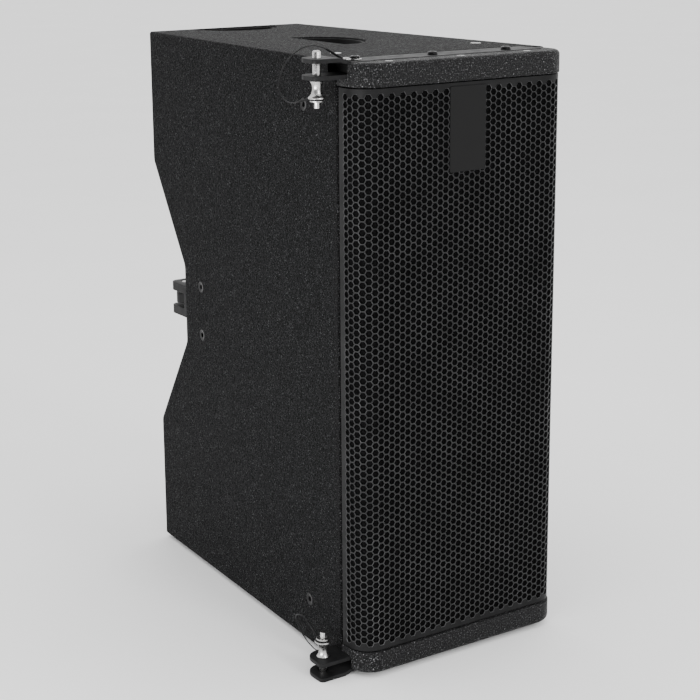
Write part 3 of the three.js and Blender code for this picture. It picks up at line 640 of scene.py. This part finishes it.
def cap_mesh():
    """The top cap: a rounded end plate with a tab behind it, cut out for the rigging."""
    low = CAP_LOW + 0.6
    levels = [(1.1, low), (0.35, low + 0.35), (0.0, low + 1.1)]
    for i in range(7):
        t = math.pi / 2 * i / 6
        levels.append((CAP_ROUNDING * (1 - math.cos(t)), CAP_TOP - CAP_ROUNDING * (1 - math.sin(t))))
    tab = inside(CAP_END)
    rings = []
    for inset, z in levels:
        ring = [(-tab, CAP_END), (-tab, SIDE_START - GAP)]
        ring += front_outline(inset, inset, SIDE_START - GAP)
        ring += [(tab, SIDE_START - GAP), (tab, CAP_END)]
        rings.append([at(x, d, z) for x, d in ring])
    under_bar = BAR_TOP - BAR_THICKNESS - GAP
    cuts = [
        block(-CUT_REACH, BAR_RIGHT + GAP, BAR_FRONT - GAP, BAR_BACK + GAP, under_bar, CUT_TOP),
        fork_room(-96, GAP, 603.7),
        link_room(GAP),
    ]
    for x, depth in CAP_STUDS:
        cuts.append(lathe("hole", [(4.4, 0), (4.4, 20)], at(x, depth, 617.2), (0, 0, 1), 24))
    return less(stack("front_cap", rings), cuts)


top_cap = cap_mesh()
make("front_cap_top_look", top_cap, "coated_cap", replaced=["front_cap_top"], smooth=32)
make("front_cap_bottom_look", upside_down(top_cap), "coated_cap", replaced=["front_cap_bottom"], smooth=32)

for end in ("top", "bottom"):
    refine_node("front_fork_" + end, 0.7, 3)
    refine_node("front_link_" + end, 0.6)


# ---------------------------------------------------------------- perforated grille

GRILLE_FRONT = 2.5
GRILLE_SIDE = 0.5
SHEET = 1.5
PITCH = 7.38  # between holes in a column
COLUMN = 6.47  # between columns
OPEN = 0.77  # share of each cell that is open
LIP = 0.075  # width of a hole's pressed lip, as a share of the cell
LIP_DROP = 0.3
SIDE_BORDER = 4.6
END_BORDER = 2.6
GRILLE_LOW = 25.0
GRILLE_HIGH = HEIGHT - 25.0
GRILLE_TO_SIDE = 2.3  # dark gap between the wrapped sheet and the side panels
EDGE_STEPS = 80


def wrap_path():
    """The sheet's run in plan: corner radius, half the flat front, and each leg's length."""
    radius = CORNER - GRILLE_FRONT
    flat = HALF_FRONT - GRILLE_SIDE - radius
    leg = SIDE_START - GRILLE_TO_SIDE - (GRILLE_FRONT + radius)
    return radius, flat, leg


def on_wrap(run, lift, z):
    """A point of the wrapped sheet: run along it from the centre, lift out of its face, height."""
    radius, flat, _ = wrap_path()
    side = 1 if run >= 0 else -1
    u = abs(run)
    if u <= flat:
        x, depth, nx, nd = u, GRILLE_FRONT, 0.0, -1.0
    elif u <= flat + radius * math.pi / 2:
        t = (u - flat) / radius
        nx, nd = math.sin(t), -math.cos(t)
        x, depth = flat + radius * nx, GRILLE_FRONT + radius + radius * nd
    else:
        x, depth, nx, nd = flat + radius, GRILLE_FRONT + radius + u - flat - radius * math.pi / 2, 1.0, 0.0
    return at(side * (x + nx * lift), depth + nd * lift, z)


def grille_mesh():
    """The sheet with its hexagonal holes; the faces of the holes' lips are marked."""
    radius, flat, leg = wrap_path()
    end = flat + radius * math.pi / 2 + leg
    middle = (GRILLE_LOW + GRILLE_HIGH) / 2
    columns = int(end / COLUMN) + 2
    rows = int((GRILLE_HIGH - GRILLE_LOW) / 2 / PITCH) + 2
    points, faces, lips, known = [], [], [], {}

    def corner(u, z, lift):
        u = max(-end, min(end, u))
        z = max(GRILLE_LOW, min(GRILLE_HIGH, z))
        key = (round(u, 3), round(z, 3), lift)
        if key not in known:
            known[key] = len(points)
            points.append(on_wrap(u, lift, z))
        return known[key]

    half_open = OPEN ** 0.5
    for c in range(-columns, columns + 1):
        for r in range(-rows, rows + 1):
            u = c * COLUMN
            z = middle + (r + (0.0 if c % 2 else 0.5)) * PITCH
            cell = []
            for k in range(6):
                t = math.pi / 3 * k
                cell.append((u + COLUMN / 1.5 * math.cos(t), z + PITCH / math.sqrt(3) * math.sin(t)))
            outer = [corner(a, b, 0.0) for a, b in cell]
            if len(set(outer)) < 3:
                continue
            clear_u = end - SIDE_BORDER - COLUMN / 2
            clear_z = (GRILLE_HIGH - GRILLE_LOW) / 2 - END_BORDER - PITCH / 2
            if abs(u) > clear_u or abs(z - middle) > clear_z:
                unique = [i for n, i in enumerate(outer) if i != outer[n - 1]]
                if len(set(unique)) >= 3:
                    faces.append(tuple(unique))
                continue
            hole = [(u + (a - u) * half_open, z + (b - z) * half_open) for a, b in cell]
            rim = [(u + (a - u) * (half_open + LIP), z + (b - z) * (half_open + LIP)) for a, b in cell]
            edge = [corner(a, b, 0.0) for a, b in rim]
            lip = [corner(a, b, -LIP_DROP) for a, b in hole]
            deep = [corner(a, b, -SHEET) for a, b in hole]
            for k in range(6):
                n = (k + 1) % 6
                faces.append((outer[k], outer[n], edge[n], edge[k]))
                lips.append(len(faces))
                faces.append((edge[k], edge[n], lip[n], lip[k]))
                faces.append((lip[k], lip[n], deep[n], deep[k]))
    runs = [-end + 2 * end * i / EDGE_STEPS for i in range(EDGE_STEPS + 1)]
    for z in (GRILLE_LOW, GRILLE_HIGH):
        base = len(points)
        for u in runs:
            points.append(on_wrap(u, 0.0, z))
            points.append(on_wrap(u, -SHEET, z))
        for i in range(EDGE_STEPS):
            a = base + 2 * i
            faces.append((a, a + 2, a + 3, a + 1))
    for u in (-end, end):
        base = len(points)
        points.extend([on_wrap(u, 0.0, GRILLE_LOW), on_wrap(u, -SHEET, GRILLE_LOW)])
        points.extend([on_wrap(u, -SHEET, GRILLE_HIGH), on_wrap(u, 0.0, GRILLE_HIGH)])
        faces.append((base, base + 1, base + 2, base + 3))
    mesh = bpy.data.meshes.new("grille_sheet")
    mesh.from_pydata([tuple(p) for p in points], [], faces)
    mark = mesh.attributes.new("lip", "INT", "FACE")
    for face in lips:
        mark.data[face].value = 1
    mesh.validate()
    return mesh


sheet_mesh = grille_mesh()
lip_faces = [i for i, mark in enumerate(sheet_mesh.attributes["lip"].data) if mark.value]
make("grille_sheet", sheet_mesh, "grille_metal", replaced=["grille"], smooth=25)
# The holes' lips get a lighter colour than the sheet: a painted highlight along the edges.
sheet_mesh.materials.append(satin_steel("grille_lip_painted_highlight", 0.030, 0.055, 0.32, gloss=0.4))
for face in lip_faces:
    sheet_mesh.polygons[face].material_index = 1

FOAM_LOW = 27.0
FOAM_HEIGHT = 566.0
FOAM_SET_BACK = 4.4  # from the cabinet's front face
FOAM_THICKNESS = 3.8
FOAM_STEPS = 40


def foam_mesh():
    """A sheet of foam that follows the grille round the front."""
    rings = []
    back = FOAM_SET_BACK + FOAM_THICKNESS
    for z in [FOAM_LOW + FOAM_HEIGHT * i / FOAM_STEPS for i in range(FOAM_STEPS + 1)]:
        outer = front_outline(FOAM_SET_BACK, FOAM_SET_BACK - 2, SIDE_START - 1)
        inner = front_outline(back, back - 2, SIDE_START - 1)
        rings.append([at(x, d, z) for x, d in outer + inner[::-1]])
    return stack("grille_foam_look", rings)


foam = make("grille_foam_look", foam_mesh(), "open_foam", replaced=["grille_foam"], smooth=40)


# ---------------------------------------------------------------- label plate


def rounded_plate(name, x0, x1, z0, z1, depth0, depth1, radius, edge):
    """A plate on the front with round corners and a softened front edge."""
    rings = []
    for inset, depth in ((edge, depth0), (edge * 0.3, depth0 + edge * 0.3), (0, depth0 + edge), (0, depth1)):
        ring = []
        r = radius - inset
        for cx, cz, start in (
            (x1 - radius, z1 - radius, 0), (x0 + radius, z1 - radius, 1),
            (x0 + radius, z0 + radius, 2), (x1 - radius, z0 + radius, 3),
        ):
            for i in range(7):
                t = math.pi / 2 * (start + i / 6)
                ring.append(at(cx + r * math.cos(t), depth, cz + r * math.sin(t)))
        rings.append(ring)
    return stack(name, rings)


LABEL_HALF_WIDTH = 22
LABEL_LOW = 507.5
LABEL_HIGH = 591.5
LABEL_FRONT = 1.4
LABEL_BACK = 2.2

label = rounded_plate(
    "label_plate_look", -LABEL_HALF_WIDTH, LABEL_HALF_WIDTH, LABEL_LOW, LABEL_HIGH,
    LABEL_FRONT, LABEL_BACK, 1.2, 0.35,
)
make("label_plate_look", label, "label_metal", replaced=["label_plate"], smooth=40)


# ---------------------------------------------------------------- screws


def cap_screw_profile(head, tall, socket):
    """A domed screw head with a hexagonal socket: head radius, height and socket radius."""
    return [
        (head - 0.4, 0), (head, 0.3), (head, tall * 0.5), (head * 0.93, tall * 0.78), (head * 0.75, tall),
        (socket + 0.25, tall, 6), (socket, tall - 0.25, 6), (socket, tall - 1.5, 6), (0.05, tall - 1.7),
    ]


def stud_profile(radius, tall):
    """A low bright fixing with a dished rim and a small hexagonal socket."""
    return [
        (radius, 0), (radius, tall - 0.15), (radius - 0.3, tall), (radius * 0.62, tall - 0.1),
        (radius * 0.5, tall - 0.35), (radius * 0.3, tall - 0.35, 6), (radius * 0.28, 0.2, 6), (0.05, 0.15),
    ]


for end in ("top", "bottom"):
    for i, x in enumerate(BAR_SCREWS):
        # The first screw sits on the lanyard's eyelet.
        tall = 2.4 if i == 0 else 3.0
        seat = 621.4 if i == 0 else BAR_TOP + 0.1
        node = f"bar_screw_{end}_{i + 1}"
        mesh = lathe(node + "_look", cap_screw_profile(5.0, tall, 1.6), at(x, BAR_SCREW_DEPTH, seat))
        if end == "bottom":
            mesh = upside_down(mesh)
        make(node + "_look", mesh, "black_screw", replaced=[node], smooth=40)
    small = []
    for x, depth in CAP_STUDS:
        small.append(lathe("small", stud_profile(4.2, 1.9), at(x, depth, 617.3)))
    for x, depth in PANEL_STUDS:
        small.append(lathe("small", stud_profile(5.6, 0.55), at(x, depth, 619.9)))
    mesh = joined("small_screws_" + end, small)
    if end == "bottom":
        mesh = upside_down(mesh)
    make("small_screws_" + end, mesh, "eyelet_steel", smooth=40)

SIDE_NAMES = [f"side_screw_{place}_{end}" for place in ("front", "rear") for end in ("top", "bottom")]
SUNK = [
    (3.0, 14), (3.0, 3.7), (6.3, 0.9), (6.6, 0.55), (6.4, 0.25), (5.6, 0.2), (4.6, 0.55),
    (2.9, 0.6, 6), (2.7, 0.8, 6), (2.7, 3.2, 6), (0.05, 3.4),
]
for (depth, z), node in zip(SIDE_SCREWS, SIDE_NAMES):
    base, inwards = side_place(-1, depth, z)
    make(node + "_look", lathe(node, SUNK, base, inwards), "black_screw", replaced=[node], smooth=40)
    base, inwards = side_place(1, depth, z)
    make(node.replace("side_", "right_"), lathe(node, SUNK, base, inwards), "black_screw", smooth=40)


# ---------------------------------------------------------------- quick release pins


def pin_profile(length):
    """Button well, end flange, groove for the wire, flange, waisted grip, then the shaft to its tip."""
    return [
        (0.05, 7), (3.2, 7), (3.2, 0.3), (3.5, 0), (6.5, 0), (6.9, 0.35), (6.9, 1.1), (6.6, 1.4), (5, 1.45),
        (5, 2.75), (8.2, 2.8), (8.5, 3.1), (8.5, 4.2), (8.2, 4.6), (7.4, 5.0), (6.5, 6.0), (5.5, 8),
        (4.8, 10.2), (4.5, 12), (4.5, 13.6), (4.8, 15.6), (5.6, 17.8), (6.6, 19.2), (6.8, 19.5),
        (6.5, 19.7), (4, 19.7),
        (4, length - 1.5), (3.7, length - 0.9), (2.7, length), (0.05, length),
    ]


BUTTON = [(0.05, 0), (2.4, 0), (2.8, 0.25), (2.9, 0.6), (2.9, 9.4), (0.05, 9.4)]
BUTTON_PROUD = 6.4
GROOVE_HEIGHT = 2.1  # of the wire's loop above the pin's end
LOOP_RADIUS = 5.65
WIRE_RADIUS = 0.6
BALL_RADIUS = 1.5
BALL_REACH = 2.7  # of a ball's centre from the axis
BALL_BELOW_TIP = 4.5


def ball_mesh(spot):
    """One of the locking balls near a pin's tip."""
    bm = bmesh.new()
    bmesh.ops.create_uvsphere(bm, u_segments=16, v_segments=10, radius=BALL_RADIUS * MM)
    bmesh.ops.translate(bm, verts=bm.verts, vec=spot)
    ball = bpy.data.meshes.new("ball")
    bm.to_mesh(ball)
    bm.free()
    return ball


def pin_pieces(name, x, depth, base, length, balls, turned_over=False):
    """A pin's body, its button and the wire's loop round its groove."""
    pin = lathe(name, pin_profile(length), at(x, depth, base), segments=64)
    parts = [pin]
    if balls:
        for side in (-1, 1):
            for turn in (0.0, math.pi / 2):
                across = side * BALL_REACH * math.cos(turn)
                along = side * BALL_REACH * math.sin(turn)
                parts.append(ball_mesh(at(x + across, depth + along, base + length - BALL_BELOW_TIP)))
    knob = lathe(name + "_button", BUTTON, at(x, depth, base - BUTTON_PROUD), segments=40)
    loop = loop_mesh(x, depth, base + GROOVE_HEIGHT)
    whole = joined(name, parts)
    if turned_over:
        whole, knob, loop = upside_down(whole), upside_down(knob), upside_down(loop)
    return whole, knob, loop


def loop_mesh(x, depth, z):
    """The wire's loop in the groove of the grip."""
    rings = []
    for i in range(40):
        t = 2 * math.pi * i / 40
        ring = []
        for k in range(10):
            s = 2 * math.pi * k / 10
            r = LOOP_RADIUS + WIRE_RADIUS * math.cos(s)
            ring.append(at(x + r * math.cos(t), depth + r * math.sin(t), z + WIRE_RADIUS * math.sin(s)))
        rings.append(ring)
    rings.append(rings[0])
    return stack("loop", rings, closed_ends=False)


# Both front pins are drawn as at the top end: height of the grip's end, length, and turned over or not.
for end, base, length, over in (("top", 582.6, 48.2, False), ("bottom", 584.0, 39.6, True)):
    whole, knob, loop = pin_pieces("pin_" + end, PIN_X, FORK_DEPTH, base, length, not over, over)
    make(f"pin_{end}_look", whole, "pin_chrome", "front_pin_" + end, ["quick_release_pin_" + end], 38)
    make(f"button_{end}_look", knob, "button_steel", "front_button_" + end, ["pin_button_" + end], 38)
    make(f"wire_loop_{end}", loop, "wire_steel", "front_pin_" + end, smooth=60)
whole, knob, _ = pin_pieces("pin_rear", *REAR_PIN, REAR_PIN_LENGTH, False)
make("pin_rear_look", whole, "pin_chrome", "rear_pin", ["quick_release_pin_rear"], 38)
make("button_rear_look", knob, "button_steel", "rear_button", ["pin_button_rear"], 38)


# ---------------------------------------------------------------- lanyards

LANYARD_TOP = [
    (-123.2, 38.1, 621.8), (-127, 41, 624.6), (-131, 47, 628.6), (-134, 57, 631.8), (-138, 67, 632.8),
    (-143, 79, 629.5), (-149, 91, 620), (-152, 98.5, 609.5), (-153, 105, 595), (-152, 104.5, 585.5),
    (-150.8, 96, 578.5), (-150.2, 84, 577.5), (-150.3, 68, 581), (-150.5, 50.4, 584.7),
]
LANYARD_BOTTOM = [
    (-113.8, 56.7, -1.8), (-117.5, 63, -2.4), (-122, 70, -2.6), (-128, 76.5, -1.4), (-133.5, 83, 2.6),
    (-136, 94, 8.2), (-138.5, 101, 16.5), (-144, 101, 30), (-148, 96.5, 38.6), (-151, 87, 44.6),
    (-152, 76, 47.1), (-151, 64, 42.1), (-150.5, 50.4, 33.9),
]
SLEEVE_RADIUS = 1.15


def smooth_route(points, steps=9):
    """A curve through the points."""
    p = [at(*q) for q in points]
    p = [2 * p[0] - p[1], *p, 2 * p[-1] - p[-2]]
    route = []
    for i in range(1, len(p) - 2):
        for k in range(steps):
            t = k / steps
            a, b, c, d = p[i - 1], p[i], p[i + 1], p[i + 2]
            route.append(0.5 * (2 * b + (c - a) * t + (2 * a - 5 * b + 4 * c - d) * t ** 2
                                + (3 * b - a - 3 * c + d) * t ** 3))
    route.append(p[-2])
    return route


def tube(name, route, radius, sides=10):
    """A round skin along a route."""
    rings = []
    normal = Vector((0, 0, 1))
    for i, point in enumerate(route):
        along = (route[min(i + 1, len(route) - 1)] - route[max(i - 1, 0)]).normalized()
        normal = (normal - along * normal.dot(along)).normalized()
        other = along.cross(normal)
        ring = []
        for k in range(sides):
            t = 2 * math.pi * k / sides
            ring.append(point + (normal * math.cos(t) + other * math.sin(t)) * radius * MM)
        rings.append(ring)
    return stack(name, rings)


def part_of(route, start, length):
    """The stretch of a route that begins start metres along it."""
    found, run = [], 0.0
    for a, b in zip(route, route[1:]):
        if start <= run <= start + length:
            found.append(a)
        run += (b - a).length
    return found


def total(route):
    """A route's length in metres."""
    return sum((b - a).length for a, b in zip(route, route[1:]))


for end, points in (("top", LANYARD_TOP), ("bottom", LANYARD_BOTTOM)):
    route = smooth_route(points)
    skin = tube("wire_" + end, route, WIRE_RADIUS)
    wire = make("wire_" + end, skin, "wire_steel", None, ["lanyard_" + end], 60)
    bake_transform(wire)
    for n, (start, length) in enumerate(((0.0, 0.019), (total(route) - 0.022, 0.0215))):
        name = f"sleeve_{end}_{n + 1}"
        skin = tube(name, part_of(route, start, length), SLEEVE_RADIUS, 14)
        sleeve = make(name, skin, "moulded_plastic", None, smooth=50)
        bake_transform(sleeve)
    refine_node("lanyard_eyelet_" + end, 0.2)


# ---------------------------------------------------------------- rear rigging and connectors

for node in ("rear_fork_left", "rear_fork_right", "rear_arm"):
    refine_node(node, 0.9, 3)
refine_node("rear_pivot_pin", 0.5)
refine_node("connector_plate", 0.4)
for side in ("left", "right"):
    refine_node("speaker_socket_" + side, 0.6)

REARWARDS = (0, 1, 0)
PLATE_SCREW = (45.5, 37.5)  # from the plate's middle
SOCKET_SCREW = 12.4  # from a socket's middle
SOCKET_POST = [(4.4, 0), (4.4, 9.4), (4.0, 9.8), (1.4, 9.8), (1.2, 8.0), (0.05, 8.0)]

fixings = []
for across in (-1, 1):
    for rise in (-1, 1):
        base = at(across * PLATE_SCREW[0], DEPTH - 3.2, CONNECTOR_Z + rise * PLATE_SCREW[1])
        fixings.append(lathe("fixing", cap_screw_profile(3.0, 1.8, 1.1), base, REARWARDS, 36))
for x in (-SOCKET_X, SOCKET_X):
    for across, rise in ((-1, -1), (1, 1), (-1, 1), (1, -1)):
        base = at(x + across * SOCKET_SCREW, DEPTH - 0.9, CONNECTOR_Z + rise * SOCKET_SCREW)
        fixings.append(lathe("fixing", cap_screw_profile(1.9, 1.1, 0.7), base, REARWARDS, 24))
make("connector_screws", joined("connector_screws", fixings), "black_screw", smooth=40)

contacts = []
for x in (-SOCKET_X, SOCKET_X):
    contacts.append(lathe("post", SOCKET_POST, at(x, 462.2, CONNECTOR_Z), REARWARDS, 32))
make("socket_posts", joined("socket_posts", contacts), "moulded_plastic", smooth=40)

for name, node in frame["nodes"].items():
    if not node.hide_render:
        node.data.materials.clear()
        node.data.materials.append(LOOKS[slot_of(name)])


# ---------------------------------------------------------------- floor, light and camera

FLOOR_RADIUS = 24.0
FLOOR_SIDES = 64
FLOOR_TOP = -0.0042


def floor_disc():
    """A wide round slab, in metres, whose top lies just under the lowest ear."""
    turns = [2 * math.pi * i / FLOOR_SIDES for i in range(FLOOR_SIDES)]
    rim = [(FLOOR_RADIUS * math.cos(t), FLOOR_RADIUS * math.sin(t)) for t in turns]
    return stack("floor", [[(x, y, z) for x, y in rim] for z in (-0.06, FLOOR_TOP)])


floor_mesh = floor_disc()
floor = bpy.data.objects.new("floor", floor_mesh)
bpy.context.scene.collection.objects.link(floor)
pale = Look("pale_floor", 0.8, 0.0, 0.2)
pale.colours(pale.noise(3.0, 3.0), [(0.3, (0.93, 0.93, 0.93)), (0.7, (0.95, 0.95, 0.95))])
floor_mesh.materials.append(pale.mat)


def studio_world():
    """Even pale light from all round, weaker from the direction that the left side faces."""
    world = bpy.data.worlds.new("studio")
    bpy.context.scene.world = world
    world.use_nodes = True
    tree = world.node_tree
    sky = tree.nodes["Background"]
    sky.inputs[1].default_value = 1.7
    direction = tree.nodes.new("ShaderNodeTexCoord")
    facing = tree.nodes.new("ShaderNodeVectorMath")
    facing.operation = "DOT_PRODUCT"
    facing.inputs[1].default_value = (-0.90, -0.43, 0.0)
    unlit_side = tree.nodes.new("ShaderNodeValToRGB")
    bright, dim = unlit_side.color_ramp.elements
    bright.position, bright.color = 0.60, (1, 1, 1, 1)
    dim.position, dim.color = 0.86, (0.12, 0.12, 0.12, 1)
    tree.links.new(direction.outputs["Generated"], facing.inputs[0])
    tree.links.new(facing.outputs["Value"], unlit_side.inputs[0])
    tree.links.new(unlit_side.outputs[0], sky.inputs[0])


def softbox(name, place, aim, size, power):
    """A rectangular lamp at a place in metres, turned to an aim point."""
    light = bpy.data.lights.new(name, "AREA")
    light.shape = "RECTANGLE"
    light.size, light.size_y = size
    light.energy = power
    obj = bpy.data.objects.new(name, light)
    bpy.context.scene.collection.objects.link(obj)
    obj.visible_camera = False
    obj.location = place
    obj.rotation_mode = "QUATERNION"
    obj.rotation_quaternion = (Vector(aim) - Vector(place)).to_track_quat("-Z", "Y")


studio_world()
softbox("overhead", (0.2, 0.6, 2.4), (0, 0.1, 0.5), (2.2, 2.2), 8)
softbox("right", (2.4, -1.0, 1.3), (0, 0, 0.35), (1.2, 1.8), 10)
softbox("front", (0.3, -2.9, 1.8), (0, 0, 0.3), (0.6, 1.0), 32)
softbox("low_left", (-1.5, -0.5, 0.25), (-0.13, 0, 0.12), (1.2, 0.4), 27)


CAMERA_PLACE = (-1.00955, -1.41214, 0.77026)
LENS = 86.36
SHIFT = (0.0037, -0.0714)
YAW, PITCH_DOWN, ROLL = 0.58985, 0.23543, -0.00717


def place_camera():
    """The view of the photograph: in front, to the left and from above, with a shifted lens."""
    data = bpy.data.cameras.new("camera")
    data.sensor_width = 36.0
    data.lens = LENS
    data.shift_x, data.shift_y = SHIFT
    data.clip_start = 0.01
    data.clip_end = 200.0
    camera = bpy.data.objects.new("camera", data)
    bpy.context.scene.collection.objects.link(camera)
    bpy.context.scene.camera = camera
    ahead = Vector((math.sin(YAW), math.cos(YAW), 0)) * math.cos(PITCH_DOWN)
    ahead.z = -math.sin(PITCH_DOWN)
    level = Vector((math.cos(YAW), -math.sin(YAW), 0))
    upright = level.cross(ahead)
    right = math.cos(ROLL) * level + math.sin(ROLL) * upright
    up = -math.sin(ROLL) * level + math.cos(ROLL) * upright
    pose = Matrix((right, up, -ahead)).transposed().to_4x4()
    pose.translation = Vector(CAMERA_PLACE)
    camera.matrix_world = pose


place_camera()
